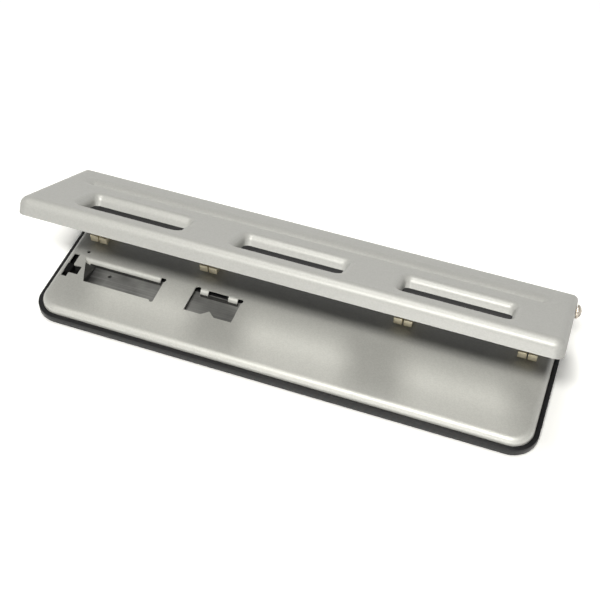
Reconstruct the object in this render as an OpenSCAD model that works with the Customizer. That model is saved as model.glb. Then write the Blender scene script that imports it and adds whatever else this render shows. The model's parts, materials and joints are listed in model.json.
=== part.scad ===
// Desktop strip binding machine: a low tray under a pressed cover, four punch
// heads on the cover, and a hinged press lid held open by the punch springs.
// Millimetres. X runs along the machine, Y from front to back, Z up.
// The origin is on the table, under the middle of the base.

/* [Base] */
// Overall length of the base
base_length = 316.6; // [313:0.2:330]
// Overall depth of the base, front to back
base_depth = 99.2; // [98:0.2:112]
// Corner radius of the tray, seen from above
base_corner = 16.1; // [14:0.1:18]
// Width of the tray ledge that shows all round the cover
ledge_width = 3; // [2.7:0.1:3.6]
// Height of the tray ledge above the table
ledge_height = 6.5; // [6.2:0.1:7]
// Height of the cover's flat top above the table
plate_height = 11; // [10.8:0.1:12]
// Sheet thickness of the cover
cover_sheet = 1; // [0.8:0.1:1.2]
// Radius of the cover's rolled edge, on the outside
cover_roll = 4; // [3.5:0.1:4.2]

/* [Windows] */
// Distance from the front of the base to the front edge of both windows
window_setback = 29.8; // [29:0.2:32]
// Depth of both windows, front to back
window_depth = 19.8; // [19:0.2:20.6]
// Distance from the left end of the base to the long window's right edge
long_window_end = 70.8; // [69:0.1:72]
// Width of the long window along its rear edge
long_window_width = 55.9; // [54:0.1:57]
// Distance from the left end of the base to the short window's left edge
short_window_start = 91.3; // [90.5:0.1:95]
// Width of the short window
short_window_width = 31.5; // [30:0.5:33]
// Travel of the trimming slide
slide_travel = 5; // [4:0.25:5.5]

/* [Punch heads] */
// Hole pitch of the binding pattern
hole_pitch = 25.4; // [25:0.1:25.6]
// Diameter of a punch pin
pin_d = 3.2; // [3:0.1:3.4]
// Height of the paper throat under a punch head
throat = 2.2; // [2:0.1:2.6]
// Distance from the throat's back stop to the centre of the punched hole
hole_margin = 6; // [5.5:0.25:6.5]
// Width of a punch head
head_w = 11.5; // [11:0.25:12.5]
// Distance of the punch pins in front of the hinge
pin_arm = 12.4; // [12:0.1:13]

/* [Lid] */
// Depth of the lid, rear edge to front edge
lid_depth = 84.8; // [80:0.4:86]
// Height of the lid's walls
lid_wall = 10.6; // [10:0.2:11.6]
// Sheet thickness of the lid
lid_sheet = 1.2; // [1:0.1:1.3]
// Radius of the lid's rolled edge, on the outside
lid_roll = 5.5; // [5:0.25:6]
// Angle at which the lid stands open
lid_open = 29.4; // [28:0.2:31]
// Height of the hinge above the table
hinge_height = 43.9; // [43:0.1:46]
// Length of a finger slot, over its lips
slot_length = 71.5; // [66:0.5:76]
// Width of a finger slot, over its lips
slot_width = 32.5; // [30:0.5:33]
// Spacing of the three finger slots
slot_pitch = 96.5; // [94:0.5:99]
// Distance from the lid's rear edge to the middle of the finger slots
slot_setback = 58; // [57.5:0.1:58.5]
// Distance from the lid's rear edge to the middle of the stiffening groove
groove_setback = 25.3; // [25:0.1:25.4]

/* [Hidden] */
$fn = 64;

// clearances
move_gap = 0.3;      // between pieces that move past each other
run_gap = 0.05;      // radial, round a turning or sliding pin
screw_gap = 0.1;     // radial, round a screw
seat_gap = 0.02;     // at a spring's ends
eps = 0.5;           // overrun of a cut past a face

// places
half_length = base_length / 2;
front_y = -base_depth / 2;
rear_y = base_depth / 2;

// tray
foot_drop = 2;
foot_sink = 0.4;
foot_d = 14;
foot_inset_x = 20.3;
foot_inset_y = 13.6;
tray_floor = 1.5;
tray_bottom = foot_drop;
floor_top = tray_bottom + tray_floor;
rebate_w = 2.1;
rebate_drop = 1.7;
rebate_z = ledge_height - rebate_drop;
tray_wall = ledge_width + rebate_w;
fit_gap = 0.1;

// cover
cover_length = base_length - 2 * ledge_width;
cover_depth = base_depth - 2 * ledge_width;
cover_corner = base_corner - ledge_width;
plate_under = plate_height - cover_sheet;
cover_skirt = plate_height - rebate_z;

// windows and slide
win_front = front_y + window_setback;
win_rear = win_front + window_depth;
long_right = -half_length + long_window_end;
long_left = long_right - long_window_width;
long_skew = 7.9;
short_left = -half_length + short_window_start;
short_right = short_left + short_window_width;
bend_r = 3;
cheek_in = 7.6;               // of the long window's slanted wall, at its foot
relief_r = 1.9;
small_relief_r = 1.3;
short_slot_w = 13.4;
pointer_w = 8.6;
pointer_reach = 3.7;
tee_left = 7;                // from the base's end to the tee's bar
tee_bar_w = 3.7;
tee_stub_w = 6.8;
tee_stub_front = 3.7;        // from the windows' front edge to the stub
spare_hole_d = 2.2;
spare_hole_behind = 3.9;
plate_t = 1;
counter_z = floor_top;
slide_z = counter_z + plate_t + move_gap;
wall_bottom = slide_z + plate_t + move_gap;
slide_lap_front = 3;         // of the slide under the windows' front edge
slide_lap_rear = 0.5;
slide_lap_right = 4.5;
slide_end = 5.7;             // from the base's end to the slide
slide_front = win_front - slide_lap_front;
slide_rear = win_rear + slide_lap_rear;
slide_left = -half_length + slide_end;
slide_right = short_right + slide_lap_right;
rib_w = 1.5;
trim_hole_d = 2.4;
trim_hole_in = 19.5;         // from the long window's left end
trim_hole_up = 12.8;         // from the windows' front edge
tab_w = 4;
tab_proud = 0.8;
tab_peg_d = 2;
tab_foot_t = 0.6;            // of the tab's foot, which hides the slide in the tee slot
tee_x = -half_length + tee_left;
tee_stub_end = tee_x + move_gap + tab_w + slide_travel + move_gap;
tee_stub_y = win_front + tee_stub_front + tee_stub_w / 2;

// cover posts and screws
post_d = 6;
post_screw_d = 2.5;
post_screw_grip = 4.5;
post_end_inset = 38.3;
post_front_inset = 11.6;
post_rear_inset = 10.6;
post_x = half_length - post_end_inset;
post_front = front_y + post_front_inset;
post_rear = rear_y - post_rear_inset;
post_spots = [for (x = [-post_x, 0, post_x], y = [post_front, post_rear]) [x, y]];
csk_d = 4.8;
csk_h = 1.15;

// hinge and lid, measured from the hinge axis with the lid level
hinge_setback = 18.9;
hinge_y = rear_y - hinge_setback;
lid_rear = 8.7;
lid_top = 8;
lid_over = 1.2;              // of the lid past the base's ends
lid_length = base_length + 2 * lid_over;
lid_corner_lead = 1;         // flat between the rolled edge and the corner's centre
lid_corner = lid_roll + lid_corner_lead;
lid_swing = 29.2;
groove_half = 8.55;          // half the groove's width
groove_shoulder = 13.6;      // radius of its rounded shoulders
groove_dip = 2.8;
groove_end = 11;
slot_corner = 8;
lip_r = 4.5;
lip_drop = 7;
ear_r = 5.5;
bush_d = 6;
bush_flange_d = 8;
bush_flange = 2.4;
shoulder_d = 4.5;
washer_t = 0.6;
bracket_t = 2;
bracket_ear_r = 5;
bracket_half = 9;
pivot_thread_d = 3;
pivot_nut_t = 2.4;
nut_flats = 5.5;
pivot_head_d = 8.3;
pivot_head_t = 3;
lid_end = lid_length / 2;
lid_inner = lid_end - lid_sheet;
bracket_out = lid_inner - bush_flange - move_gap - washer_t;
bracket_in = bracket_out - bracket_t;
// the lid's rear wall comes to rest over the bracket's shoulder
rear_wall_drop = lid_rear * sin(lid_open) + (lid_wall - lid_top) * cos(lid_open);
shoulder_z = hinge_height - rear_wall_drop - move_gap;
// the bracket's neck stands clear of the lid's rear wall
neck_y = lid_rear - lid_sheet - move_gap;
bracket_neck = neck_y * cos(lid_open) - (lid_wall - lid_top) * sin(lid_open);
foot_t = 2;
foot_behind = 2.4;           // of the bracket's foot, behind the hinge
foot_depth = 7.8;
foot_front = hinge_y + foot_behind;
foot_back = foot_front + foot_depth;
foot_reach = 14.8;
bracket_screw_y = (foot_front + foot_back) / 2;
bracket_screw_d = 3;
bracket_screw_head_h = 2;
bracket_nut_t = 2.4;
bracket_screw_in = 5.8;
bracket_screw_pitch = 6;
bracket_screw_x = [bracket_screw_in, bracket_screw_in + bracket_screw_pitch];

// punch heads
// the outer heads keep their distance from the base's ends, the inner ones stand three holes in
head_end = 18.6;
head_step = 3 * hole_pitch;
outer_x = half_length - head_end;
head_places = [-outer_x, head_step - outer_x, outer_x - head_step, outer_x];
function hole_x(i) = head_places[i - 1];
pin_y = hinge_y - pin_arm;
jaw_h = 5;
jaw_nose = 6.5;              // of the jaw in front of the pin
jaw_front = pin_y - jaw_nose;
stop_y = pin_y + hole_margin;
heel = 7.7;
head_back = stop_y + heel;
jaw_z = plate_height + throat;
jaw_top = jaw_z + jaw_h;
boss_d = 9;
boss_h = 3.3;
boss_top = jaw_top + boss_h;
slit_w = 1;
head_screw_d = 2.5;
head_screw_x = 3.3;
head_screw_in = 3.8;
head_screw_y = head_back - head_screw_in;
head_screw_grip = 5;
head_screw_head_d = 4.6;
head_screw_head_h = 1.6;
die_t = 3;
die_nose = 6.3;
die_lap = 0.8;
die_front = pin_y - die_nose;
die_back = head_back + die_lap;
die_bottom = plate_under - die_t;
die_over = 7.3;

// press rail: its pressing face is a plane at press_drop below the hinge,
// level when the lid is half way down
press_drop = 9;
press_tilt = lid_swing / 2;
face_tilt = lid_open - press_tilt;
rail_sheet = 1.2;
rail_rear = -2;
rail_front = -26.6;
rail_flange = 5;
rail_end = 11.8;             // from the lid's end to the rail
rail_length = lid_length - 2 * rail_end;
function face_z(y) = -press_drop / cos(face_tilt) + tan(face_tilt) * y;

// pins
pin_head_d = 7;
pin_head_t = 2.6;
dome_r = 6;
dome_rise = dome_r - sqrt(dome_r * dome_r - pin_head_d * pin_head_d / 4);
pin_top = hinge_height + pin_arm * tan(press_tilt) - press_drop / cos(press_tilt)
          - dome_r * (1 / cos(press_tilt) - 1) - move_gap;
tip_rise = 0.4;              // of the pin's tip inside the jaw
pin_tip = jaw_z + tip_rise;
spring_low = boss_top + seat_gap;
spring_high = pin_top - pin_head_t - seat_gap;
spring_wire = 0.6;
spring_d = 5.2;
spring_turns = 6;
rings_per_turn = 8;
tube_sides = 6;
spring_rise = spring_high - spring_low - spring_wire;

// gap between neighbouring curls, measured between ring centres one turn apart
curl_gap = norm(spring_at(1) - spring_at(0)) - spring_wire;
echo(spring_curl_gap = curl_gap);

// centre line of a spring, by turns from its lower end
function spring_at(t) = [spring_d / 2 * cos(360 * t), spring_d / 2 * sin(360 * t),
                         spring_wire / 2 + spring_rise * t / spring_turns];

// ring of points round the spring's centre line
function spring_ring(t) =
    let (c = spring_at(t), out = [cos(360 * t), sin(360 * t), 0])
    [for (k = [0 : tube_sides - 1])
        let (a = 360 * (k + 0.5) / tube_sides)
        c + spring_wire / 2 * (cos(a) * out + sin(a) * [0, 0, 1])];

// block with rounded upright corners, standing on z = 0
module rounded_block(l, d, r, h) {
    translate([-l / 2 + r, -d / 2, 0]) cube([l - 2 * r, d, h]);
    translate([-l / 2, -d / 2 + r, 0]) cube([l, d - 2 * r, h]);
    for (x = [-1, 1], y = [-1, 1])
        translate([x * (l / 2 - r), y * (d / 2 - r), 0]) cylinder(r = r, h = h);
}

// section of a bent sheet: flat for run, a quarter bend down, then a straight wall
module bent_sheet(run, roll, sheet, drop) {
    if (run > 0) translate([0, -sheet]) square([run, sheet]);
    translate([run, -roll]) intersection() {
        difference() {
            circle(r = roll);
            circle(r = roll - sheet);
        }
        square([roll, roll]);
    }
    translate([run + roll - sheet, -drop]) square([sheet, drop - roll]);
}

// pressed sheet pan with its top face on z = 0, open underneath
module pan(l, d, corner, roll, sheet, drop, square_rear = false) {
    inner_l = l - 2 * corner;
    inner_d = d - 2 * corner;
    translate([-inner_l / 2, -inner_d / 2, -sheet]) cube([inner_l, inner_d, sheet]);
    for (turn = [0, 180]) rotate([0, 0, turn]) {
        translate([-inner_l / 2, inner_d / 2, 0]) rotate([90, 0, 90])
            linear_extrude(inner_l) bent_sheet(corner - roll, roll, sheet, drop);
        translate([inner_l / 2, inner_d / 2, 0]) rotate([90, 0, 0])
            linear_extrude(inner_d) bent_sheet(corner - roll, roll, sheet, drop);
        for (side = [0, 1]) mirror([side, 0, 0]) translate([inner_l / 2, inner_d / 2, 0])
            if (square_rear && turn == 0)
                mitred_corner(corner, roll, sheet, drop);
            else
                rotate_extrude(angle = 90) bent_sheet(corner - roll, roll, sheet, drop);
    }
}

// corner where two turned-down edges meet on a slanted seam
module mitred_corner(corner, roll, sheet, drop) {
    for (side = [0, 1]) mirror([side, -side, 0]) intersection() {
        rotate([90, 0, 90]) linear_extrude(corner) bent_sheet(corner - roll, roll, sheet, drop);
        translate([0, 0, -drop]) linear_extrude(drop) polygon([[0, 0], [corner, corner], [0, corner]]);
    }
}

// hexagon prism by its width over flats
module hex(flats, h) {
    cylinder(d = flats / cos(30), h = h, $fn = 6);
}

// places a lid piece, built level about the hinge, in the open position
module lid_place() {
    translate([0, hinge_y, hinge_height]) rotate([-lid_open, 0, 0]) children();
}

// both ends of the machine
module each_end() {
    for (side = [0, 1]) mirror([side, 0, 0]) children();
}

module base_tray() {
    color("#1b1c1e") {
        difference() {
            translate([0, 0, tray_bottom])
                rounded_block(base_length, base_depth, base_corner, ledge_height - tray_bottom);
            translate([0, 0, floor_top])
                rounded_block(base_length - 2 * tray_wall, base_depth - 2 * tray_wall,
                              base_corner - tray_wall, ledge_height);
            translate([0, 0, rebate_z])
                rounded_block(cover_length + 2 * fit_gap, cover_depth + 2 * fit_gap,
                              cover_corner + fit_gap, ledge_height);
            for (x = [-1, 1], y = [-1, 1])
                translate([x * (half_length - foot_inset_x), y * (rear_y - foot_inset_y), 0])
                    cylinder(d = foot_d + 2 * fit_gap, h = foot_drop + foot_sink);
            for (p = post_spots) translate([p[0], p[1], tray_bottom]) {
                cylinder(d1 = csk_d, d2 = post_screw_d + 2 * screw_gap, h = csk_h);
                cylinder(d = post_screw_d + 2 * screw_gap, h = tray_floor + eps);
            }
        }
        // ribs that guide the counter plate and the trimming slide
        for (y = [slide_front - move_gap - rib_w, slide_rear + move_gap])
            translate([slide_left, y, floor_top])
                cube([slide_right + slide_travel - slide_left, rib_w, slide_z + plate_t - floor_top]);
    }
}

module rubber_feet() {
    color("#2a2a2a") for (x = [-1, 1], y = [-1, 1])
        translate([x * (half_length - foot_inset_x), y * (rear_y - foot_inset_y), 0])
            cylinder(d = foot_d, h = foot_drop + foot_sink);
}

// fixed plate under the slide; the pin ends are trimmed between the two
module counter_plate() {
    color("#8f9193") difference() {
        translate([slide_left, slide_front - move_gap, counter_z])
            cube([slide_right + slide_travel - slide_left, slide_rear - slide_front + 2 * move_gap,
                  plate_t]);
        trim_hole();
    }
}

module trim_hole() {
    translate([long_left + trim_hole_in, win_front + trim_hole_up, 0])
        cylinder(d = trim_hole_d, h = plate_height);
}

module trim_slide() {
    color("#9a9c9e") difference() {
        translate([slide_left, slide_front, slide_z])
            cube([slide_right - slide_left, slide_rear - slide_front, plate_t]);
        trim_hole();
        translate([tee_x + move_gap + tab_w / 2, tee_stub_y, 0])
            cylinder(d = tab_peg_d, h = plate_height);
    }
}

module finger_tab() {
    tab_x = tee_x + move_gap;
    tab_d = tee_stub_w - 2 * move_gap;
    tab_z = slide_z + plate_t;
    color("#141414") {
        translate([tab_x, tee_stub_y - tab_d / 2, tab_z])
            cube([tab_w, tab_d, plate_height + tab_proud - tab_z]);
        translate([tab_x, tee_stub_y - tab_d / 2, tab_z])
            cube([tab_w + slide_travel, tab_d, tab_foot_t]);
        translate([tab_x + tab_w / 2, tee_stub_y, slide_z]) cylinder(d = tab_peg_d, h = plate_t);
    }
}

// rear wall of a window: the sheet rolls over and down, from left to right
module window_wall(left, right) {
    translate([right, win_rear, plate_height]) rotate([90, 0, -90])
        linear_extrude(right - left) bent_sheet(0, bend_r, cover_sheet, plate_height - wall_bottom);
}

// slanted left wall of the long window, folded in from its skewed edge
// its edges are sunk half a sheet into the plate and the rear wall
module window_cheek() {
    foot_x = long_left + cheek_in;
    skew_y = win_rear - window_depth * cheek_in / long_skew;
    skin = [-cover_sheet, 0, 0];
    sink = cover_sheet / 2;
    inner = [[long_left - sink, win_rear, plate_height - sink],
             [foot_x - sink, skew_y, plate_height - sink],
             [foot_x, skew_y, wall_bottom],
             [foot_x, win_rear - bend_r + sink, wall_bottom]];
    points = concat(inner, [for (p = inner) p + skin]);
    polyhedron(points, [[0, 3, 1], [1, 3, 2], [4, 5, 7], [5, 6, 7], [0, 1, 5, 4],
                        [1, 2, 6, 5], [2, 3, 7, 6], [3, 0, 4, 7]]);
}

module tee_slot() {
    translate([tee_x, win_front, rebate_z]) cube([tee_bar_w, window_depth, cover_skirt + eps]);
    translate([tee_x, tee_stub_y - tee_stub_w / 2, rebate_z])
        cube([tee_stub_end - tee_x, tee_stub_w, cover_skirt + eps]);
}

module base_cover() {
    pointer_mid = short_left + short_window_width / 2;
    pointer = [[pointer_mid + pointer_w / 2, win_front], [pointer_mid, win_front + pointer_reach],
               [pointer_mid - pointer_w / 2, win_front]];
    cut_h = cover_sheet + 2 * eps;
    cut_z = plate_under - eps;
    color("#b9bab4") {
        difference() {
            translate([0, 0, plate_height])
                pan(cover_length, cover_depth, cover_corner, cover_roll, cover_sheet, cover_skirt);
            translate([0, 0, cut_z]) linear_extrude(cut_h) {
                polygon([[long_left, win_rear], [long_right, win_rear], [long_right, win_front],
                         [long_left + long_skew, win_front]]);
                polygon(concat([[short_left, win_front], [short_left, win_rear],
                                [short_right, win_rear], [short_right, win_front]], pointer));
                translate([long_right - relief_r / 2, win_rear - relief_r]) circle(r = relief_r);
                translate([long_right - small_relief_r, win_front]) circle(r = small_relief_r);
                translate([short_left + relief_r, win_rear - relief_r / 2]) circle(r = relief_r);
                translate([short_right - relief_r / 2, win_rear - relief_r]) circle(r = relief_r);
                translate([long_left, win_rear + spare_hole_behind]) circle(d = spare_hole_d);
                for (i = [1 : 4]) translate([hole_x(i), pin_y]) circle(r = pin_d / 2 + 2 * screw_gap);
            }
            tee_slot();
            for (i = [1 : 4]) head_screw_holes(i, cut_z, cut_h);
            each_end() bracket_screw_holes(cut_z, cut_h);
        }
        window_wall(long_left, long_right - 1.5 * relief_r);
        window_cheek();
        difference() {
            window_wall(short_left + 2 * relief_r, short_right - 1.5 * relief_r);
            translate([pointer_mid - short_slot_w / 2, win_rear - bend_r - eps, plate_height - bend_r])
                cube([short_slot_w, bend_r + 2 * eps, bend_r + eps]);
        }
    }
}

module cover_posts() {
    color("#a8a9a6") for (p = post_spots) translate([p[0], p[1], floor_top]) difference() {
        cylinder(d = post_d, h = plate_under - floor_top);
        translate([0, 0, -eps])
            cylinder(r = post_screw_d / 2 + screw_gap, h = post_screw_grip + 2 * eps);
    }
}

module tray_screws() {
    color("#b4b5b8") for (p = post_spots) translate([p[0], p[1], tray_bottom]) {
        cylinder(d1 = csk_d, d2 = post_screw_d, h = csk_h);
        cylinder(d = post_screw_d, h = tray_floor + post_screw_grip);
    }
}

module head_screw_holes(i, z, h) {
    for (x = [-1, 1]) translate([hole_x(i) + x * head_screw_x, head_screw_y, z])
        cylinder(r = head_screw_d / 2 + screw_gap, h = h);
}

// die strip clamped under the cover; the pins pass through it
module die_rail() {
    half = hole_x(4) + die_over;
    color("#8a8c8e") difference() {
        translate([-half, die_front, die_bottom]) cube([2 * half, die_back - die_front, die_t]);
        for (i = [1 : 4]) {
            translate([hole_x(i), pin_y, die_bottom - eps])
                cylinder(r = pin_d / 2 + run_gap, h = die_t + 2 * eps);
            head_screw_holes(i, die_bottom - eps, die_t + 2 * eps);
        }
    }
}

// brass punch head: a jaw over the paper throat, its foot behind the back stop
module punch_head(i) {
    color("#c9a95a") translate([hole_x(i), 0, 0]) difference() {
        union() {
            translate([-head_w / 2, jaw_front, jaw_z]) cube([head_w, head_back - jaw_front, jaw_h]);
            translate([-head_w / 2, stop_y, plate_height]) cube([head_w, head_back - stop_y, throat]);
            translate([0, pin_y, jaw_top]) cylinder(d = boss_d, h = boss_h);
        }
        translate([0, pin_y, jaw_z - eps])
            cylinder(r = pin_d / 2 + run_gap, h = boss_top - jaw_z + 2 * eps);
        translate([-slit_w / 2, jaw_front - eps, jaw_z - eps])
            cube([slit_w, pin_y - jaw_front + eps, boss_top - jaw_z + 2 * eps]);
        translate([-hole_x(i), 0, 0])
            head_screw_holes(i, plate_height - eps, head_screw_grip + eps + move_gap);
    }
}

module head_screws() {
    color("#b4b5b8") for (i = [1 : 4], x = [-1, 1])
        translate([hole_x(i) + x * head_screw_x, head_screw_y, die_bottom - head_screw_head_h]) {
            cylinder(d = head_screw_head_d, h = head_screw_head_h);
            cylinder(d = head_screw_d,
                     h = head_screw_head_h + plate_height - die_bottom + head_screw_grip);
        }
}

module punch_pin(i) {
    color("#aeb0b3") translate([hole_x(i), pin_y, 0]) {
        translate([0, 0, pin_tip]) cylinder(d = pin_d, h = pin_top - pin_head_t - pin_tip);
        translate([0, 0, pin_top - pin_head_t]) intersection() {
            cylinder(d = pin_head_d, h = pin_head_t);
            translate([0, 0, pin_head_t - dome_r]) sphere(r = dome_r);
        }
    }
}

// open-wound compression spring round a pin, one unbroken tube
module pin_spring(i) {
    rings = spring_turns * rings_per_turn;
    end = rings * tube_sides;
    points = [for (k = [0 : rings]) each spring_ring(k / rings_per_turn)];
    skin = [for (k = [0 : rings - 1], s = [0 : tube_sides - 1])
        let (low = k * tube_sides, high = low + tube_sides, n = (s + 1) % tube_sides)
        each [[low + s, low + n, high + n], [low + s, high + n, high + s]]];
    caps = [for (s = [1 : tube_sides - 2]) each [[0, s + 1, s], [end, end + s, end + s + 1]]];
    color("#c4c6c8") translate([hole_x(i), pin_y, spring_low])
        polyhedron(points, concat(skin, caps));
}

module bracket_screw_holes(z, h) {
    for (x = bracket_screw_x) translate([bracket_in - x, bracket_screw_y, z])
        cylinder(r = bracket_screw_d / 2 + screw_gap, h = h);
}

// bent steel bracket: foot on the cover, ear round the pivot, shoulder as the lid's open stop
module hinge_bracket() {
    color("#a3a5a7") difference() {
        union() {
            translate([bracket_in - foot_reach, foot_front, plate_height])
                cube([foot_reach, foot_back - foot_front, foot_t]);
            translate([bracket_in, hinge_y - bracket_half, plate_height])
                cube([bracket_t, foot_back - hinge_y + bracket_half, shoulder_z - plate_height]);
            translate([bracket_in, hinge_y - bracket_neck, plate_height])
                cube([bracket_t, 2 * bracket_neck, hinge_height - plate_height]);
            translate([bracket_in, hinge_y, hinge_height]) rotate([0, 90, 0])
                cylinder(r = bracket_ear_r, h = bracket_t);
        }
        translate([bracket_in - eps, hinge_y, hinge_height]) rotate([0, 90, 0])
            cylinder(r = pivot_thread_d / 2 + screw_gap, h = bracket_t + 2 * eps);
        bracket_screw_holes(plate_height - eps, foot_t + 2 * eps);
    }
}

module hinge_bracket_left() {
    mirror([1, 0, 0]) hinge_bracket();
}

module hinge_bracket_right() {
    hinge_bracket();
}

module bracket_screws() {
    grip = foot_t + cover_sheet + bracket_nut_t;
    color("#b4b5b8") each_end() for (x = bracket_screw_x)
        translate([bracket_in - x, bracket_screw_y, plate_height + foot_t]) {
            cylinder(d = nut_flats, h = bracket_screw_head_h);
            translate([0, 0, -grip]) cylinder(d = bracket_screw_d, h = grip + bracket_screw_head_h);
        }
}

module bracket_nuts() {
    color("#b4b5b8") each_end() for (x = bracket_screw_x)
        translate([bracket_in - x, bracket_screw_y, plate_under - bracket_nut_t]) difference() {
            rotate([0, 0, 30]) hex(nut_flats, bracket_nut_t);
            translate([0, 0, -eps])
                cylinder(r = bracket_screw_d / 2 + screw_gap, h = bracket_nut_t + 2 * eps);
        }
}

module pivot_washers() {
    color("#c0c2c4") each_end() translate([bracket_out, hinge_y, hinge_height]) rotate([0, 90, 0])
        difference() {
            cylinder(d = bush_flange_d, h = washer_t);
            translate([0, 0, -eps]) cylinder(r = shoulder_d / 2 + screw_gap, h = washer_t + 2 * eps);
        }
}

module pivot_nuts() {
    color("#b4b5b8") each_end() translate([bracket_in - pivot_nut_t, hinge_y, hinge_height])
        rotate([0, 90, 0]) difference() {
            hex(nut_flats, pivot_nut_t);
            translate([0, 0, -eps])
                cylinder(r = pivot_thread_d / 2 + screw_gap, h = pivot_nut_t + 2 * eps);
        }
}

// shoulder screw: domed head outside the lid, the lid turns on the shoulder
module pivot_screw() {
    rim = 1;
    rise = pivot_head_t - rim;
    dome_r = (pow(rise, 2) + pow(pivot_head_d / 2, 2)) / (2 * rise);
    slot_w = 1.2;
    slot_deep = 1.2;
    head_x = lid_end + move_gap;
    color("#a09488") translate([0, hinge_y, hinge_height]) rotate([0, 90, 0]) {
        translate([0, 0, bracket_in - pivot_nut_t - eps])
            cylinder(d = pivot_thread_d, h = bracket_out - bracket_in + pivot_nut_t + eps);
        translate([0, 0, bracket_out]) cylinder(d = shoulder_d, h = head_x - bracket_out);
        difference() {
            translate([0, 0, head_x]) {
                cylinder(d = pivot_head_d, h = rim);
                intersection() {
                    translate([0, 0, pivot_head_t - dome_r]) sphere(r = dome_r);
                    cylinder(d = pivot_head_d, h = pivot_head_t);
                }
            }
            translate([-slot_w / 2, -pivot_head_d, head_x + pivot_head_t - slot_deep])
                cube([slot_w, 2 * pivot_head_d, slot_deep + eps]);
        }
    }
}

module pivot_screw_left() {
    mirror([1, 0, 0]) pivot_screw();
}

module pivot_screw_right() {
    pivot_screw();
}

// flanged bushes pressed into the lid's end walls
module pivot_bushes() {
    color("#b98f45") each_end() translate([lid_inner - bush_flange, hinge_y, hinge_height])
        rotate([0, 90, 0]) difference() {
            union() {
                cylinder(d = bush_flange_d, h = bush_flange);
                cylinder(d = bush_d, h = bush_flange + lid_sheet);
            }
            translate([0, 0, -eps])
                cylinder(r = shoulder_d / 2 + run_gap, h = bush_flange + lid_sheet + 2 * eps);
        }
}

// rolled lip round one finger slot, turned down into the lid
module slot_lip() {
    run = slot_length - 2 * slot_corner;
    end_run = slot_width - 2 * slot_corner;
    for (turn = [0, 180]) rotate([0, 0, turn]) {
        translate([run / 2, slot_width / 2, 0]) rotate([90, 0, -90])
            linear_extrude(run) bent_sheet(0, lip_r, lid_sheet, lip_drop);
        translate([slot_length / 2, -end_run / 2, 0]) rotate([90, 0, 180])
            linear_extrude(end_run) bent_sheet(0, lip_r, lid_sheet, lip_drop);
        translate([run / 2, end_run / 2, 0]) slot_lip_corner();
        translate([-run / 2, end_run / 2, 0]) rotate([0, 0, 90]) slot_lip_corner();
    }
}

module slot_lip_corner() {
    rotate_extrude(angle = 90) translate([slot_corner, 0]) mirror([1, 0])
        bent_sheet(0, lip_r, lid_sheet, lip_drop);
}

// half of the groove's section: a narrow floor and one rounded shoulder
module groove_half_section(dip, shoulder, top) {
    difference() {
        translate([0, -dip]) square([groove_half, dip + top]);
        translate([groove_half, -groove_shoulder]) circle(r = shoulder);
    }
}

// groove along X with round ends, its middle on the origin and the lid's top on z = 0
module groove_form(dip, shoulder, top) {
    run = lid_length - 2 * groove_end - 2 * groove_half;
    translate([-run / 2, 0, 0]) rotate([90, 0, 90]) linear_extrude(run)
        for (side = [0, 1]) mirror([side, 0]) groove_half_section(dip, shoulder, top);
    for (turn = [0, 180]) rotate([0, 0, turn]) translate([run / 2, 0, 0]) rotate([0, 0, -90])
        rotate_extrude(angle = 180) groove_half_section(dip, shoulder, top);
}

module lid_shell() {
    mid_y = lid_rear - lid_depth / 2;
    slot_y = lid_rear - slot_setback;
    groove_y = lid_rear - groove_setback;
    color("#b9bab4") lid_place() difference() {
        union() {
            difference() {
                translate([0, mid_y, lid_top])
                    pan(lid_length, lid_depth, lid_corner, lid_roll, lid_sheet, lid_wall,
                        square_rear = true);
                for (n = [-1 : 1]) translate([n * slot_pitch, slot_y, lid_top - lid_sheet - eps])
                    rounded_block(slot_length, slot_width, slot_corner, lid_sheet + 2 * eps);
            }
            for (n = [-1 : 1]) translate([n * slot_pitch, slot_y, lid_top]) slot_lip();
            // underside of the groove
            translate([0, groove_y, lid_top])
                groove_form(groove_dip + lid_sheet, groove_shoulder - lid_sheet, -lid_sheet / 2);
            // ears that carry the pivot bushes
            each_end() translate([lid_inner, 0, 0]) rotate([0, 90, 0])
                intersection() {
                    cylinder(r = ear_r, h = lid_sheet);
                    translate([0, -ear_r, 0]) cube([ear_r, 2 * ear_r, lid_sheet]);
                }
        }
        translate([0, groove_y, lid_top]) groove_form(groove_dip, groove_shoulder, eps);
        // bores for the bushes, spot-faced inside for their flanges
        each_end() translate([lid_inner, 0, 0]) rotate([0, 90, 0]) {
            translate([0, 0, -eps]) cylinder(d = bush_d, h = lid_sheet + 2 * eps);
            translate([0, 0, -bush_flange - eps])
                cylinder(d = bush_flange_d + 2 * screw_gap, h = bush_flange + eps);
        }
    }
}

// folded channel welded under the lid; its slanted floor presses the pins down
module press_rail() {
    under = lid_top - lid_sheet;
    rail = [[rail_rear + rail_flange, under], [rail_front - rail_flange, under],
            [rail_front - rail_flange, under - rail_sheet], [rail_front, under - rail_sheet],
            [rail_front, face_z(rail_front)], [rail_rear, face_z(rail_rear)],
            [rail_rear, under - rail_sheet], [rail_rear + rail_flange, under - rail_sheet]];
    hollow = [[rail_rear - rail_sheet, under + eps], [rail_front + rail_sheet, under + eps],
              [rail_front + rail_sheet, face_z(rail_front + rail_sheet) + rail_sheet],
              [rail_rear - rail_sheet, face_z(rail_rear - rail_sheet) + rail_sheet]];
    color("#2a2b2d") lid_place() translate([-rail_length / 2, 0, 0]) rotate([90, 0, 90])
        linear_extrude(rail_length) difference() {
            polygon(rail);
            polygon(hollow);
        }
}

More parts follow.
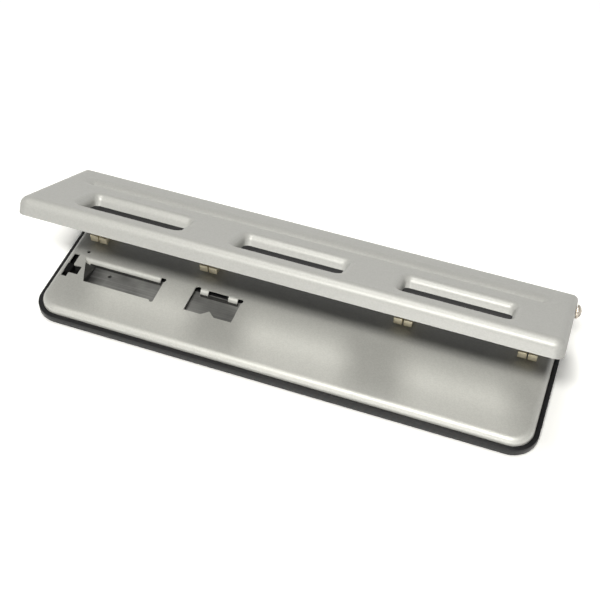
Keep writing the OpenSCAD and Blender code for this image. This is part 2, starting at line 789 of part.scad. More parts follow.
base_tray();
rubber_feet();
counter_plate();
trim_slide();
finger_tab();
base_cover();
cover_posts();
tray_screws();
die_rail();
punch_head(1);  // punch_head_1
punch_head(2);  // punch_head_2
punch_head(3);  // punch_head_3
punch_head(4);  // punch_head_4
head_screws();
punch_pin(1);  // punch_pin_1
punch_pin(2);  // punch_pin_2
punch_pin(3);  // punch_pin_3
punch_pin(4);  // punch_pin_4
pin_spring(1);  // pin_spring_1
pin_spring(2);  // pin_spring_2
pin_spring(3);  // pin_spring_3
pin_spring(4);  // pin_spring_4
hinge_bracket_left();
hinge_bracket_right();
bracket_screws();
bracket_nuts();
pivot_washers();
pivot_nuts();
pivot_screw_left();
pivot_screw_right();
pivot_bushes();
lid_shell();
press_rail();
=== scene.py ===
import json
import math

import bpy
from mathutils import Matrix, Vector

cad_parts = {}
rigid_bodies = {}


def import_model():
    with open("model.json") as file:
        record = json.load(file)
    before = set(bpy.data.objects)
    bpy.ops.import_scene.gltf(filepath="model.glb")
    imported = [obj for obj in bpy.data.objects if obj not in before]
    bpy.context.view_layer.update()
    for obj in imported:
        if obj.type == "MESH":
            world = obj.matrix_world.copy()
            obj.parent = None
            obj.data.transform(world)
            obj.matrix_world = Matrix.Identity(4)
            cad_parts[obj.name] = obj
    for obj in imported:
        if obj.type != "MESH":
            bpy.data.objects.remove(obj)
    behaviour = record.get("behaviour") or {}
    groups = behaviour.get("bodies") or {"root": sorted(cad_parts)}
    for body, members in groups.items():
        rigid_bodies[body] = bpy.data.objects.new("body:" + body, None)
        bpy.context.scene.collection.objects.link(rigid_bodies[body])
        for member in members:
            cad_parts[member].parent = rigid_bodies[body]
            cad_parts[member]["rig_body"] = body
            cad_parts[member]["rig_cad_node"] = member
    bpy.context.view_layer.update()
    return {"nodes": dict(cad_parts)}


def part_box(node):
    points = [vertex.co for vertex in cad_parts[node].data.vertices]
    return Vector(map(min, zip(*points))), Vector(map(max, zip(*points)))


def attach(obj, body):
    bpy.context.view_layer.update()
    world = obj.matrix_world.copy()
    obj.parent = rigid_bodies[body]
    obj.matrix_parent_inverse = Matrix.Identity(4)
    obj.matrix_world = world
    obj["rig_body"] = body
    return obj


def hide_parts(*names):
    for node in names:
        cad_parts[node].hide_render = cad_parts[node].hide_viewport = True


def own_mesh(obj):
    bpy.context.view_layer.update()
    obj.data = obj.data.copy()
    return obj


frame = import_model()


# Studio
# A pale table top under two soft boxes, overhead and in front, with a weak one low in front.
# The room is dim, white at the table's far edge. The camera stands in front, to the right.
scene = bpy.context.scene
scene.view_settings.view_transform = "Standard"
camera_place = (0.15268, -0.41781, 0.54179)
camera_turn = (math.radians(40.69), 0.0, math.radians(19.83))
camera_lens = 67.92
camera_near = 0.01
white = (1, 1, 1, 1)
table_size = 8.0
table_colour = (0.50, 0.50, 0.50, 1)
table_colour_seen = (1.15, 1.15, 1.15, 1)
table_fades = (0.25, 0.60)
room_colour = (0.96, 0.98, 1, 1)
room_light = 0.02
backdrop_seen = (1.0, 0.35)
backdrop_fades = (0.15, 0.40)
lamps_aim = (0, 0, 0.03)
soft_boxes = {
    "Front box": ((0.10, -0.80, 1.37), (0.5, 0.14), 22.0, (1, 0.99, 0.94)),
    "Low front box": ((0.25, -1.50, 0.20), (0.8, 0.25), 6.0, (1, 0.99, 0.95)),
    "Overhead box": ((-0.12, 0.22, 1.42), (0.4, 0.7), 9.5, (1, 0.99, 0.94)),
}


def reckon(tree, operation, *values):
    """One math node, fed by sockets and plain numbers."""
    node = tree.nodes.new("ShaderNodeMath")
    node.operation = operation
    for socket, value in zip(node.inputs, values):
        if isinstance(value, float):
            socket.default_value = value
        else:
            tree.links.new(value, socket)
    return node.outputs[0]


def spread(tree, value, low, high, start=0.0, end=1.0):
    """Turns a value that runs from start to end into one from low to high."""
    node = tree.nodes.new("ShaderNodeMapRange")
    node.inputs["From Min"].default_value = start
    node.inputs["From Max"].default_value = end
    node.inputs["To Min"].default_value = low
    node.inputs["To Max"].default_value = high
    tree.links.new(value, node.inputs["Value"])
    return node.outputs["Result"]


def blend(tree, share, first, second):
    """Mixes two shaders, with a 0 to 1 share of the second."""
    node = tree.nodes.new("ShaderNodeMixShader")
    for socket, source in zip(node.inputs, (share, first, second)):
        tree.links.new(source, socket)
    return node.outputs[0]


def coordinates(tree, kind):
    """The sockets of X, Y and Z, in one kind of coordinates."""
    split = tree.nodes.new("ShaderNodeSeparateXYZ")
    tree.links.new(tree.nodes.new("ShaderNodeTexCoord").outputs[kind], split.inputs["Vector"])
    return split.outputs


def seen_directly(tree):
    """1 on rays from the camera, and on its rays by mirror or through glass."""
    path = tree.nodes.new("ShaderNodeLightPath")
    mirror = reckon(tree, "MAXIMUM", path.outputs["Is Camera Ray"], path.outputs["Is Glossy Ray"])
    return reckon(tree, "MAXIMUM", mirror, path.outputs["Is Transmission Ray"])


room = bpy.data.worlds.new("Dim room")
scene.world = room
room.use_nodes = True
tree = room.node_tree
walls = tree.nodes["Background"]
walls.inputs["Color"].default_value = room_colour
walls.inputs["Strength"].default_value = room_light
backdrop = tree.nodes.new("ShaderNodeBackground")
backdrop.inputs["Color"].default_value = white
fading = spread(tree, coordinates(tree, "Generated")["Z"], *backdrop_seen, *backdrop_fades)
tree.links.new(fading, backdrop.inputs["Strength"])
tree.links.new(blend(tree, seen_directly(tree), walls.outputs[0], backdrop.outputs[0]),
               tree.nodes["World Output"].inputs["Surface"])

bpy.ops.object.select_all(action="DESELECT")
bpy.ops.mesh.primitive_plane_add(size=table_size, location=(0, 0, 0))
table = bpy.context.object
table.name = "table_top"
table_finish = bpy.data.materials.new("Table top")
table_finish.use_nodes = True
tree = table_finish.node_tree
tree.nodes.clear()
plain = tree.nodes.new("ShaderNodeBsdfDiffuse")
plain.inputs["Color"].default_value = table_colour
bright = tree.nodes.new("ShaderNodeBsdfDiffuse")
bright.inputs["Color"].default_value = table_colour_seen
away = tree.nodes.new("ShaderNodeEmission")
away.inputs["Color"].default_value = white
reach = tree.nodes.new("ShaderNodeVectorMath")
reach.operation = "LENGTH"
tree.links.new(tree.nodes.new("ShaderNodeTexCoord").outputs["Object"], reach.inputs[0])
fading = spread(tree, reach.outputs["Value"], 0.0, 1.0, *table_fades)
pale = blend(tree, fading, bright.outputs[0], away.outputs[0])
surface = tree.nodes.new("ShaderNodeOutputMaterial")
tree.links.new(blend(tree, seen_directly(tree), plain.outputs[0], pale), surface.inputs["Surface"])
table.data.materials.append(table_finish)

for name, (place, size, power, colour) in soft_boxes.items():
    aim = (Vector(lamps_aim) - Vector(place)).to_track_quat("-Z", "Y").to_euler()
    bpy.ops.object.light_add(type="AREA", location=place, rotation=aim)
    lamp = bpy.context.object
    lamp.name = name
    lamp.data.shape = "RECTANGLE"
    lamp.data.size, lamp.data.size_y = size
    lamp.data.energy = power
    lamp.data.color = colour

bpy.ops.object.camera_add(location=camera_place, rotation=camera_turn)
camera = bpy.context.object
camera.data.lens = camera_lens
camera.data.clip_start = camera_near
scene.camera = camera


# Base tray
# Black moulded plastic tray that carries everything. Its ledge shows round the cover.
# The moulding has a fine spark grain, and its outer edges are slightly rounded.
tray_edge = 0.0005
tray_shades = ((0.005, 0.005, 0.006, 1), (0.012, 0.012, 0.013, 1))
nodes = frame["nodes"]


def blank_finish(name, metallic=0.0, specular=0.5):
    """New material with one shader; returns it with its node tree and the shader."""
    finish = bpy.data.materials.new(name)
    finish.use_nodes = True
    shader = finish.node_tree.nodes["Principled BSDF"]
    shader.inputs["Metallic"].default_value = metallic
    shader.inputs["Specular IOR Level"].default_value = specular
    return finish, finish.node_tree, shader


def blank_effect(name, values, results):
    """New shader node group with float inputs and float outputs, and its two end nodes."""
    effect = bpy.data.node_groups.new(name, "ShaderNodeTree")
    for label, value in values.items():
        socket = effect.interface.new_socket(name=label, in_out="INPUT", socket_type="NodeSocketFloat")
        socket.default_value = value
    for label in results:
        effect.interface.new_socket(name=label, in_out="OUTPUT", socket_type="NodeSocketFloat")
    return effect, effect.nodes.new("NodeGroupInput"), effect.nodes.new("NodeGroupOutput")


def place_effect(tree, effect, **values):
    """Puts an effect in a material with its own values."""
    node = tree.nodes.new("ShaderNodeGroup")
    node.node_tree = effect
    for label, value in values.items():
        node.inputs[label].default_value = value
    return node


def tint(tree, value, dark, light):
    """Colour between dark and light by a 0 to 1 value."""
    node = tree.nodes.new("ShaderNodeMix")
    node.data_type = "RGBA"
    node.inputs[6].default_value = dark
    node.inputs[7].default_value = light
    tree.links.new(value, node.inputs["Factor"])
    return node.outputs[2]


def raise_surface(tree, shader, height, distance, strength=1.0):
    """Feeds a height to the shader's normal; distance is in metres."""
    bump = tree.nodes.new("ShaderNodeBump")
    bump.inputs["Distance"].default_value = distance
    bump.inputs["Strength"].default_value = strength
    tree.links.new(height, bump.inputs["Height"])
    tree.links.new(bump.outputs["Normal"], shader.inputs["Normal"])


# fine grain, and broad soft patches of the same surface
grain, given, wanted = blank_effect("Grain", {"Size": 2500.0, "Patches": 14.0}, ["Grain", "Patches"])
where = grain.nodes.new("ShaderNodeTexCoord")
fine = grain.nodes.new("ShaderNodeTexNoise")
fine.inputs["Detail"].default_value = 3.0
broad = grain.nodes.new("ShaderNodeTexNoise")
broad.inputs["Detail"].default_value = 4.0
for noise, label in ((fine, "Size"), (broad, "Patches")):
    grain.links.new(where.outputs["Object"], noise.inputs["Vector"])
    grain.links.new(given.outputs[label], noise.inputs["Scale"])
grain.links.new(fine.outputs["Fac"], wanted.inputs["Grain"])
grain.links.new(broad.outputs["Fac"], wanted.inputs["Patches"])


def mottled_finish(name, shades, gloss, size, patches, metallic=0.0, bump=0.0, specular=0.5):
    """Finish in patches of two shades, with a grain that varies its roughness and its height."""
    finish, tree, shader = blank_finish(name, metallic, specular)
    skin = place_effect(tree, grain, Size=size, Patches=patches)
    tree.links.new(tint(tree, skin.outputs["Patches"], *shades), shader.inputs["Base Color"])
    tree.links.new(spread(tree, skin.outputs["Grain"], *gloss), shader.inputs["Roughness"])
    if bump:
        raise_surface(tree, shader, skin.outputs["Grain"], bump)
    return finish


def take(piece):
    """Selects one piece alone and makes it the active one."""
    bpy.ops.object.select_all(action="DESELECT")
    piece.select_set(True)
    bpy.context.view_layer.objects.active = piece


def smooth(piece, below=35):
    """Shades a piece smooth, but for edges sharper than this many degrees."""
    take(piece)
    bpy.ops.object.shade_smooth_by_angle(angle=math.radians(below))


def dress(piece, finish, body):
    """Gives a new piece its finish and ties it to its body."""
    piece.data.materials.clear()
    piece.data.materials.append(finish)
    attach(piece, body)


def soften(node, edge, finish):
    """Puts a copy with its sharp edges broken in the place of one of the base's CAD nodes."""
    piece = nodes[node].copy()
    piece.data = nodes[node].data.copy()
    piece.parent = None
    piece.name = node + "_finished"
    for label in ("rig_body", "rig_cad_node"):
        del piece[label]
    scene.collection.objects.link(piece)
    take(piece)
    bpy.ops.mesh.customdata_custom_splitnormals_clear()
    bpy.ops.object.mode_set(mode="EDIT")
    bpy.ops.mesh.select_all(action="SELECT")
    bpy.ops.mesh.remove_doubles(threshold=1e-6)
    bpy.ops.mesh.dissolve_limited(angle_limit=math.radians(0.5))
    bpy.ops.object.mode_set(mode="OBJECT")
    rounding = piece.modifiers.new("Broken edges", "BEVEL")
    rounding.width = edge
    rounding.segments = 2
    rounding.limit_method = "ANGLE"
    rounding.angle_limit = math.radians(40)
    bpy.ops.object.modifier_apply(modifier=rounding.name)
    smooth(piece)
    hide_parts(node)
    dress(piece, finish, "base")


tray_plastic = mottled_finish("Black moulded plastic", tray_shades, gloss=(0.32, 0.50),
                              size=2600.0, patches=25.0, bump=0.00006, specular=0.35)
soften("base_tray", tray_edge, tray_plastic)


# Rubber feet
# Four round rubber feet pressed into the tray's floor, chamfered where they meet the table.
# Each has a shallow dish in its underside.
foot_r = 0.007
foot_facets = 64
foot_chamfer = 0.0006
dish_rim = 0.0022
dish_depth = 0.0007
rubber_shades = ((0.020, 0.020, 0.020, 1), (0.045, 0.044, 0.042, 1))


def choose_faces(piece, wanted):
    """In object mode, selects only the faces for which wanted(face) holds."""
    for part in (piece.data.vertices, piece.data.edges):
        for item in part:
            item.select = False
    for face in piece.data.polygons:
        face.select = wanted(face)


def shape(piece, mode, *steps):
    """Runs edit-mode steps on a piece in one selection mode."""
    bpy.context.view_layer.objects.active = piece
    bpy.ops.object.mode_set(mode="EDIT")
    bpy.ops.mesh.select_mode(type=mode)
    for step in steps:
        step()
    bpy.ops.object.mode_set(mode="OBJECT")


def settle(piece, name, finish, body):
    """Fixes a finished piece's place in its mesh and ties it to its body."""
    take(piece)
    bpy.ops.object.transform_apply(location=True, rotation=True, scale=True)
    piece.name = name
    dress(piece, finish, body)


def copy_to(piece, shift):
    """Copy of a piece with its own mesh, moved by shift."""
    twin = piece.copy()
    twin.data = piece.data.copy()
    scene.collection.objects.link(twin)
    twin.location = Vector(piece.location) + Vector(shift)
    return twin


foot_rubber = mottled_finish("Foot rubber", rubber_shades, gloss=(0.70, 0.92),
                             size=1800.0, patches=60.0, bump=0.00008)
low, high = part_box("rubber_feet")
foot_h = high.z - low.z
bpy.ops.object.select_all(action="DESELECT")
bpy.ops.mesh.primitive_cylinder_add(vertices=foot_facets, radius=foot_r, depth=foot_h,
                                    location=(low.x + foot_r, low.y + foot_r, foot_h / 2))
foot = bpy.context.object
choose_faces(foot, lambda face: face.normal.z < -0.9)
shape(foot, "FACE",
      lambda: bpy.ops.mesh.bevel(offset=foot_chamfer, segments=3, affect="EDGES"))
choose_faces(foot, lambda face: face.normal.z < -0.999)
shape(foot, "FACE",
      lambda: bpy.ops.mesh.inset(thickness=dish_rim),
      lambda: bpy.ops.mesh.inset(thickness=dish_depth, depth=-dish_depth))
smooth(foot, below=30)
across = high.x - low.x - 2 * foot_r
deep = high.y - low.y - 2 * foot_r
feet = [foot] + [copy_to(foot, shift) for shift in ((across, 0, 0), (0, deep, 0), (across, deep, 0))]
for number, piece in enumerate(feet, 1):
    settle(piece, f"rubber_foot_{number}", foot_rubber, "base")
    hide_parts("rubber_feet")


# Trimming plates
# A fixed counter plate of zinc-plated sheet lies on the tray's floor, under the trimming slide.
# The slide is rolled steel strip, rubbed along the way it moves, and coloured darker towards its left
# end.
strip_dark = (0.02, 0.02, 0.02, 1)
strip_light = (0.52, 0.52, 0.51, 1)
darker_end_x = -0.1460
bright_end_x = -0.1250
end_tones = (-0.6, 0.3)
haze_tones = (-0.15, 0.55)
marks_tone = 0.20
marks_height = 0.000006
slide_gloss = (0.34, 0.46)
sheet_shades = ((0.27, 0.28, 0.30, 1), (0.46, 0.47, 0.47, 1))
sheet_gloss = (0.34, 0.52)
crystal_height = 0.00002


def paint(node, finish):
    """Gives a CAD node its finish."""
    for place in nodes[node].material_slots:
        place.material = finish


# long rub marks along X, with a few crossing ones
rubbing, given, wanted = blank_effect("Rub marks", {"Size": 1.0, "Crossing": 0.5}, ["Marks"])
where = rubbing.nodes.new("ShaderNodeTexCoord")
boldest = 0.72
marks = []
for turn, stretch, faintest in ((0.0, (18, 1400, 1400), 0.48), (38.0, (40, 1800, 900), 0.62)):
    lay = rubbing.nodes.new("ShaderNodeMapping")
    lay.inputs["Scale"].default_value = stretch
    lay.inputs["Rotation"].default_value = (0, 0, math.radians(turn))
    rubbing.links.new(where.outputs["Object"], lay.inputs["Vector"])
    streak = rubbing.nodes.new("ShaderNodeTexNoise")
    streak.inputs["Detail"].default_value = 2.0
    rubbing.links.new(lay.outputs["Vector"], streak.inputs["Vector"])
    rubbing.links.new(given.outputs["Size"], streak.inputs["Scale"])
    marks.append(spread(rubbing, streak.outputs["Fac"], 0.0, 1.0, faintest, boldest))
along, crossing = marks
rubbing.links.new(given.outputs["Crossing"], crossing.node.inputs["To Max"])
rubbing.links.new(reckon(rubbing, "MAXIMUM", along, crossing), wanted.inputs["Marks"])

slide_steel, tree, shader = blank_finish("Rubbed strip steel", metallic=0.55)
wear = place_effect(tree, rubbing, Size=1.0, Crossing=0.6)
haze = place_effect(tree, grain, Size=900.0, Patches=70.0)
worn = reckon(tree, "MULTIPLY_ADD", wear.outputs["Marks"], marks_tone,
              spread(tree, haze.outputs["Patches"], *haze_tones))
# colour darker towards the slide's left end
end_tone = spread(tree, coordinates(tree, "Object")["X"], *end_tones, darker_end_x, bright_end_x)
rubbed = reckon(tree, "ADD", worn, end_tone)
rubbed.node.use_clamp = True
tree.links.new(tint(tree, rubbed, strip_dark, strip_light), shader.inputs["Base Color"])
tree.links.new(spread(tree, wear.outputs["Marks"], *slide_gloss), shader.inputs["Roughness"])
raise_surface(tree, shader, wear.outputs["Marks"], marks_height)
paint("trim_slide", slide_steel)

plate_steel, tree, shader = blank_finish("Zinc-plated sheet", metallic=1.0)
crystals = place_effect(tree, grain, Size=700.0, Patches=90.0)
drawn = place_effect(tree, rubbing, Size=0.7, Crossing=0.2)
tree.links.new(tint(tree, crystals.outputs["Patches"], *sheet_shades), shader.inputs["Base Color"])
tree.links.new(spread(tree, drawn.outputs["Marks"], *sheet_gloss), shader.inputs["Roughness"])
raise_surface(tree, shader, crystals.outputs["Grain"], crystal_height)
paint("counter_plate", plate_steel)


# Finger tab
# Small black moulded block pegged into the slide, moved with a fingertip in the tee slot.
# Its top is cut with cross ridges for grip, and its thin foot closes the slot from below.
tab_w = 0.004
tab_foot_t = 0.0006
ridges = 5
ridge_depth = 0.0003
tab_edge = 0.000125
tab_black = (0.004, 0.004, 0.004, 1)
tab_gloss = (0.5, 0.7)
tab_grain_height = 0.00003

low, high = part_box("finger_tab")
slide_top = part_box("trim_slide")[1].z
tab_deep = high.y - low.y
bpy.ops.object.select_all(action="DESELECT")
bpy.ops.mesh.primitive_grid_add(x_subdivisions=2 * ridges - 1, y_subdivisions=1, size=1,
                                location=(low.x + tab_w / 2, (low.y + high.y) / 2, high.z))
tab = bpy.context.object
tab.scale = (tab_w, tab_deep, 1)
bpy.ops.object.transform_apply(location=True, rotation=False, scale=True)
strip_w = tab_w / (2 * ridges - 1)
choose_faces(tab, lambda face: int((face.center.x - low.x) / strip_w) % 2 == 1)
shape(tab, "FACE",
      lambda: bpy.ops.mesh.extrude_region_move(TRANSFORM_OT_translate={"value": (0, 0, -ridge_depth)}))
shape(tab, "EDGE",
      lambda: bpy.ops.mesh.select_all(action="DESELECT"),
      lambda: bpy.ops.mesh.select_non_manifold(),
      lambda: bpy.ops.mesh.extrude_region_move(TRANSFORM_OT_translate={"value": (0, 0, 0)}),
      lambda: bpy.ops.transform.resize(value=(1, 1, 0), center_override=(0, 0, slide_top)),
      lambda: bpy.ops.mesh.edge_face_add(),
      lambda: bpy.ops.mesh.select_all(action="SELECT"),
      lambda: bpy.ops.mesh.remove_doubles(threshold=1e-7),
      lambda: bpy.ops.mesh.normals_make_consistent(inside=False))
bpy.ops.object.select_all(action="DESELECT")
bpy.ops.mesh.primitive_cube_add(size=1, location=((low.x + high.x) / 2, (low.y + high.y) / 2,
                                                  slide_top + tab_foot_t / 2))
foot_plate = bpy.context.object
foot_plate.scale = (high.x - low.x, tab_deep, tab_foot_t)
bpy.ops.object.transform_apply(location=True, rotation=False, scale=True)
take(tab)
join = tab.modifiers.new("One moulding", "BOOLEAN")
join.object = foot_plate
join.operation = "UNION"
bpy.ops.object.modifier_apply(modifier=join.name)
bpy.data.objects.remove(foot_plate)
rounding = tab.modifiers.new("Moulded edges", "BEVEL")
rounding.width = tab_edge
rounding.segments = 2
bpy.ops.object.modifier_apply(modifier=rounding.name)
smooth(tab)
tab_plastic, tree, shader = blank_finish("Black tab plastic", specular=0.25)
shader.inputs["Base Color"].default_value = tab_black
matt = place_effect(tree, grain, Size=3000.0)
tree.links.new(spread(tree, matt.outputs["Grain"], *tab_gloss), shader.inputs["Roughness"])
raise_surface(tree, shader, matt.outputs["Grain"], tab_grain_height)
settle(tab, "finger_tab_ridged", tab_plastic, "slide")
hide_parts("finger_tab")


# Base cover
# Pressed steel sheet with a rolled edge, painted in a satin metallic silver.
# The paint holds fine aluminium flake, lies slightly uneven and is a little warm in tone.
silver_dark = (0.50, 0.50, 0.475, 1)
silver_light = (0.62, 0.62, 0.59, 1)
flake_tone = 0.45
coat_tones = (0.0, 0.55)
coat_height = 0.00003
# near-black painted shade at the foot of the folds in the windows, and high on the slanted cheek
fold_painted_shade = (0.045, 0.045, 0.043, 1)
fold_foot = 0.0084
cheek_rise = 0.0021
cheek_right = -0.1345
cheek_rear = -0.0042
windows_x = -0.0892
windows_half_x = 0.0553
windows_y = -0.0100
windows_half_y = 0.0106

# aluminium flake in paint: every small cell has its own brightness
flake, given, wanted = blank_effect("Metal flake", {"Size": 1500.0}, ["Flake"])
where = flake.nodes.new("ShaderNodeTexCoord")
cells = flake.nodes.new("ShaderNodeTexVoronoi")
flake.links.new(where.outputs["Object"], cells.inputs["Vector"])
flake.links.new(given.outputs["Size"], cells.inputs["Scale"])
split = flake.nodes.new("ShaderNodeSeparateColor")
flake.links.new(cells.outputs["Color"], split.inputs["Color"])
flake.links.new(split.outputs["Red"], wanted.inputs["Flake"])


def silver_paint(name, dark, light, painted_shade_colour, metallic, gloss):
    """Satin silver paint; returns it, its tree and the socket that mixes in a dark colour as painted
    shade.
    """
    finish, tree, shader = blank_finish(name, metallic)
    sparkle = place_effect(tree, flake, Size=1500.0)
    coat = place_effect(tree, grain, Size=420.0, Patches=9.0)
    tone = reckon(tree, "MULTIPLY_ADD", sparkle.outputs["Flake"], flake_tone,
                  spread(tree, coat.outputs["Patches"], *coat_tones))
    painted_shade_mix = tree.nodes.new("ShaderNodeMix")
    painted_shade_mix.data_type = "RGBA"
    painted_shade_mix.inputs[7].default_value = painted_shade_colour
    tree.links.new(tint(tree, tone, dark, light), painted_shade_mix.inputs[6])
    tree.links.new(painted_shade_mix.outputs[2], shader.inputs["Base Color"])
    tree.links.new(spread(tree, coat.outputs["Patches"], *gloss), shader.inputs["Roughness"])
    raise_surface(tree, shader, coat.outputs["Grain"], coat_height, strength=0.6)
    return finish, tree, painted_shade_mix.inputs["Factor"]


cover_paint, tree, painted_shade_mix = silver_paint("Satin silver paint, cover", silver_dark, silver_light,
                                        fold_painted_shade, metallic=0.32, gloss=(0.42, 0.50))
# painted shade: near-black on the lower part of the window folds and high on the cheek
x, y, z = coordinates(tree, "Object")
at_cheek = reckon(tree, "MULTIPLY", reckon(tree, "LESS_THAN", x, cheek_right),
                  reckon(tree, "LESS_THAN", y, cheek_rear))
painted_shade_below = reckon(tree, "MULTIPLY_ADD", at_cheek, cheek_rise, fold_foot)
in_windows = reckon(tree, "MULTIPLY", reckon(tree, "COMPARE", x, windows_x, windows_half_x),
                    reckon(tree, "COMPARE", y, windows_y, windows_half_y))
tree.links.new(reckon(tree, "MULTIPLY", in_windows, reckon(tree, "LESS_THAN", z, painted_shade_below)), painted_shade_mix)
paint("base_cover", cover_paint)


# Cover posts and tray screws
# Turned posts stand under the cover, and countersunk screws hold the tray to them.
# The screws are zinc-plated and have a cross recess.
screw_columns = 3
screw_rows = 2
cone_r = 0.0024
cone_h = 0.00115
shank_r = 0.00125
screw_facets = 48
recess_w = 0.0007
recess_len = 0.0028
recess_depth = 0.0008
zinc_shades = ((0.40, 0.40, 0.42, 1), (0.60, 0.60, 0.60, 1))

paint("cover_posts", plate_steel)
zinc = mottled_finish("Zinc-plated fastener", zinc_shades, gloss=(0.26, 0.46),
                      size=1600.0, patches=220.0, metallic=1.0, bump=0.00001)


def cut_cross(piece, place, wide, long, depth):
    """Cuts a cross recess, as a driver needs it, into a screw head at its middle."""
    for turn in (0, 90):
        bpy.ops.object.select_all(action="DESELECT")
        bpy.ops.mesh.primitive_cube_add(size=1, location=place, rotation=(0, 0, math.radians(turn)))
        blade = bpy.context.object
        blade.scale = (long, wide, 2 * depth)
        cut = piece.modifiers.new("Cross recess", "BOOLEAN")
        cut.object = blade
        cut.operation = "DIFFERENCE"
        bpy.context.view_layer.objects.active = piece
        bpy.ops.object.modifier_apply(modifier=cut.name)
        bpy.data.objects.remove(blade)


low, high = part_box("tray_screws")
bpy.ops.object.select_all(action="DESELECT")
bpy.ops.mesh.primitive_cone_add(vertices=screw_facets, radius1=cone_r, radius2=shank_r, depth=cone_h,
                                location=(low.x + cone_r, low.y + cone_r, low.z + cone_h / 2))
screw = bpy.context.object
choose_faces(screw, lambda face: face.normal.z > 0.9)
shape(screw, "FACE",
      lambda: bpy.ops.mesh.extrude_region_move(
          TRANSFORM_OT_translate={"value": (0, 0, high.z - low.z - cone_h)}))
cut_cross(screw, (low.x + cone_r, low.y + cone_r, low.z), recess_w, recess_len, recess_depth)
smooth(screw)
across = (high.x - low.x - 2 * cone_r) / (screw_columns - 1)
deep = (high.y - low.y - 2 * cone_r) / (screw_rows - 1)
screws = [screw] + [copy_to(screw, (column * across, row * deep, 0))
                    for column in range(screw_columns) for row in range(screw_rows)
                    if (column, row) != (0, 0)]
for number, piece in enumerate(screws, 1):
    settle(piece, f"tray_screw_{number}", zinc, "base")
    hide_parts("tray_screws")


# Punch heads and die rail
# Four milled brass heads stand on the cover, each with a slit jaw over the paper throat.
# Two screws each hold them, through the steel die rail under the cover.
head_count = 4
head_edge = 0.0003
brass_dark = (0.56, 0.48, 0.31, 1)
brass_light = (0.92, 0.85, 0.66, 1)
brass_gloss = (0.40, 0.54)
stain_tones = (0.15, 0.95)
milling_tone = 0.35
milling_height = 0.00001

brass, tree, shader = blank_finish("Milled brass", metallic=0.6)
milled = place_effect(tree, rubbing, Size=2.2, Crossing=0.1)
stain = place_effect(tree, grain, Size=1500.0, Patches=160.0)
tone = reckon(tree, "MULTIPLY_ADD", milled.outputs["Marks"], milling_tone,
              spread(tree, stain.outputs["Patches"], *stain_tones))
tone.node.use_clamp = True
tree.links.new(tint(tree, tone, brass_dark, brass_light), shader.inputs["Base Color"])
tree.links.new(spread(tree, milled.outputs["Marks"], *brass_gloss), shader.inputs["Roughness"])
raise_surface(tree, shader, milled.outputs["Marks"], milling_height)

for number in range(1, head_count + 1):
    soften(f"punch_head_{number}", head_edge, brass)
paint("die_rail", plate_steel)
paint("head_screws", zinc)


# Punch pins and springs
# Ground steel pins slide in the heads. A compression spring under each pin's head lifts it.
# The springs are wound from drawn wire with a closed turn at each end.
wire = 0.0006
open_turns = 5.0
end_turns = 1.0
closed_pitch = 1.05 * wire
points_per_turn = 24
pin_shades = ((0.38, 0.38, 0.40, 1), (0.58, 0.58, 0.59, 1))
wire_shades = ((0.36, 0.37, 0.39, 1), (0.60, 0.60, 0.60, 1))

ground = mottled_finish("Ground tool steel", pin_shades, gloss=(0.15, 0.32),
                        size=3000.0, patches=300.0, metallic=1.0)
drawn_wire = mottled_finish("Drawn spring wire", wire_shades, gloss=(0.24, 0.42),
                            size=2400.0, patches=400.0, metallic=1.0)


def wind_spring(name, middle, radius, bottom, rise):
    """Spring of round wire, whose own middle line winds up from bottom by rise."""
    open_pitch = (rise - 2 * end_turns * closed_pitch) / open_turns
    turns = open_turns + 2 * end_turns
    count = int(turns * points_per_turn)
    line = bpy.data.curves.new(name, "CURVE")
    line.dimensions = "3D"
    line.bevel_depth = wire / 2
    line.bevel_resolution = 3
    line.use_fill_caps = True
    thread = line.splines.new("POLY")
    thread.points.add(count)
    for step in range(count + 1):
        turn = turns * step / count
        first = min(turn, end_turns)
        last = max(turn - end_turns - open_turns, 0)
        height = closed_pitch * (first + last) + open_pitch * (turn - first - last)
        angle = 2 * math.pi * turn
        thread.points[step].co = (middle.x + radius * math.cos(angle),
                                  middle.y + radius * math.sin(angle), bottom + height, 1)
    coil = bpy.data.objects.new(name, line)
    scene.collection.objects.link(coil)
    take(coil)
    bpy.ops.object.convert(target="MESH")
    coil = bpy.context.object
    smooth(coil, below=50)
    return coil


for number in range(1, head_count + 1):
    paint(f"punch_pin_{number}", ground)
    pin_low, pin_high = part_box(f"punch_pin_{number}")
    middle = (pin_low + pin_high) / 2
    low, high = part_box(f"pin_spring_{number}")
    coil = wind_spring(f"spring_line_{number}", middle, (high.x - low.x - wire) / 2,
                       low.z + wire / 2, high.z - low.z - wire)
    settle(coil, f"pin_spring_{number}_wound", drawn_wire, "base")
    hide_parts(f"pin_spring_{number}")
    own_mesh(coil)


# Hinge brackets
# Bent brackets of zinc-plated steel stand on the cover's rear corners, and carry the pivots.
# Two screws with rounded heads and a cross recess hold each of them, with nuts below.
bracket_edge = 0.0003
bracket_screw_r = 0.0015
bracket_screw_pitch = 0.006
pan_r = 0.00275
pan_h = 0.002
pan_edge = 0.0008
pan_recess_w = 0.0007
pan_recess_len = 0.0032
pan_recess_depth = 0.0012

for side in ("left", "right"):
    soften(f"hinge_bracket_{side}", bracket_edge, plate_steel)

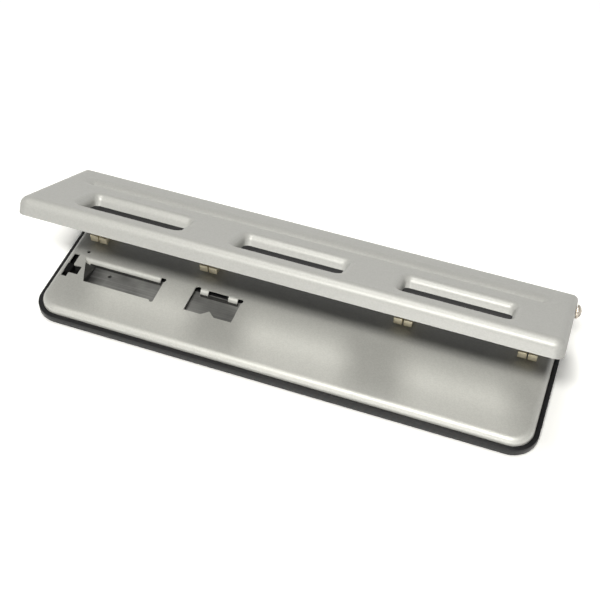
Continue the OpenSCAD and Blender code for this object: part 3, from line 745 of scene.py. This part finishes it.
low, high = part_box("bracket_screws")
middle_y = (low.y + high.y) / 2
bpy.ops.object.select_all(action="DESELECT")
bpy.ops.mesh.primitive_cylinder_add(vertices=screw_facets, radius=pan_r, depth=pan_h,
                                    location=(low.x + pan_r, middle_y, high.z - pan_h / 2))
pan = bpy.context.object
choose_faces(pan, lambda face: face.normal.z > 0.9)
shape(pan, "FACE",
      lambda: bpy.ops.mesh.bevel(offset=pan_edge, segments=5, affect="EDGES"))
choose_faces(pan, lambda face: face.normal.z < -0.9)
shape(pan, "FACE",
      lambda: bpy.ops.mesh.inset(thickness=pan_r - bracket_screw_r),
      lambda: bpy.ops.mesh.extrude_region_move(
          TRANSFORM_OT_translate={"value": (0, 0, low.z - high.z + pan_h)}))
cut_cross(pan, (low.x + pan_r, middle_y, high.z), pan_recess_w, pan_recess_len, pan_recess_depth)
smooth(pan)
across = high.x - low.x - 2 * pan_r
pans = [pan] + [copy_to(pan, (shift, 0, 0))
                for shift in (bracket_screw_pitch, across - bracket_screw_pitch, across)]
for number, piece in enumerate(pans, 1):
    settle(piece, f"bracket_screw_{number}", zinc, "base")
    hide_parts("bracket_screws")
paint("bracket_nuts", zinc)


# Hinge pivots
# A nickel-plated shoulder screw at each end passes through the lid's bush and the bracket.
# Plain washers and nuts are zinc-plated, the flanged bushes are turned brass.
pivot_edge = 0.0003
nickel_shades = ((0.30, 0.25, 0.20, 1), (0.58, 0.54, 0.48, 1))
bush_shades = ((0.40, 0.26, 0.09, 1), (0.62, 0.45, 0.19, 1))

nickel = mottled_finish("Dull nickel", nickel_shades, gloss=(0.24, 0.45),
                        size=1800.0, patches=350.0, metallic=1.0)
bush_brass = mottled_finish("Turned brass", bush_shades, gloss=(0.25, 0.45),
                            size=1800.0, patches=200.0, metallic=1.0)
for side in ("left", "right"):
    soften(f"pivot_screw_{side}", pivot_edge, nickel)
paint("pivot_washers", zinc)
paint("pivot_nuts", zinc)
paint("pivot_bushes", bush_brass)


# Lid
# Pressed steel lid with slots and a groove, in the cover's silver paint made darker as painted shade.
# Its downward faces are coloured near-black as painted shade under the lid. A folded rail is
# spot-welded there, coloured matt black as painted shade seen through the slots.
lid_tilt = math.radians(29.4)
lid_shaded_dark = (0.375, 0.375, 0.36, 1)
lid_shaded_light = (0.46, 0.46, 0.445, 1)
underside_painted_shade = (0.05, 0.05, 0.05, 1)
underside_shade_facing = (-0.05, -0.30)
rail_shades = ((0.012, 0.012, 0.013, 1), (0.030, 0.030, 0.031, 1))

# darker copy of the cover's silver paint: painted shade on the lid
lid_paint, tree, painted_shade_mix = silver_paint("Satin silver paint, lid", lid_shaded_dark, lid_shaded_light,
                                      underside_painted_shade, metallic=0.18, gloss=(0.40, 0.48))
# downward faces near-black, as painted shade under the lid
facing = tree.nodes.new("ShaderNodeVectorMath")
facing.operation = "DOT_PRODUCT"
facing.inputs[1].default_value = (0, math.sin(lid_tilt), math.cos(lid_tilt))
tree.links.new(tree.nodes.new("ShaderNodeTexCoord").outputs["Normal"], facing.inputs[0])
tree.links.new(spread(tree, facing.outputs["Value"], 0.0, 1.0, *underside_shade_facing), painted_shade_mix)
paint("lid_shell", lid_paint)

# near-black so that the slots show dark beneath: painted shade
rail_painted_shade = mottled_finish("Matt black, painted shade", rail_shades, gloss=(0.50, 0.70),
                            size=900.0, patches=40.0, bump=0.00004)
paint("press_rail", rail_painted_shade)


# Last step
# The view layer is brought up to date.
bpy.context.view_layer.update()
